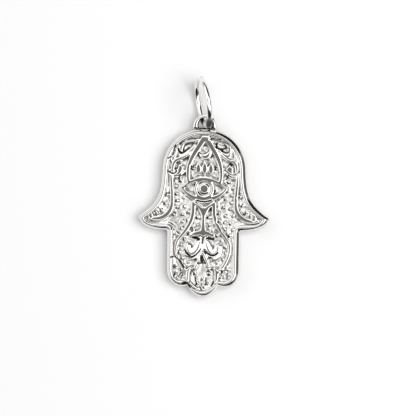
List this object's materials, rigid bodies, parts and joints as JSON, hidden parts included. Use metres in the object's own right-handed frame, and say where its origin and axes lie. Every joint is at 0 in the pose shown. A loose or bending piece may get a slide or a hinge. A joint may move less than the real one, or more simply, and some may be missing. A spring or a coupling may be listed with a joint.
{
  "type": "hamsa pendant",
  "caption": "Cast hand-shaped pendant with a rounded rim, an eye, scrolls and beads in relief, and a jump ring through its soldered eyelet.",
  "frame": {"origin": "middle of the flat back face, halfway between the middle fingertip and the top of the dome", "axes": "+Z out of the relief face, +Y from the fingers towards the eyelet and jump ring, +X to the right seen from the front"},
  "size_m": [0.018, 0.03, 0.0066],
  "materials": {
    "cast_silver": "polished, slightly softened in the recesses",
    "wire_silver": "polished"
  },
  "bodies": {
    "root": {"hamsa_hand": "cast_silver", "jump_ring": "wire_silver"}
  },
  "joints": []
}
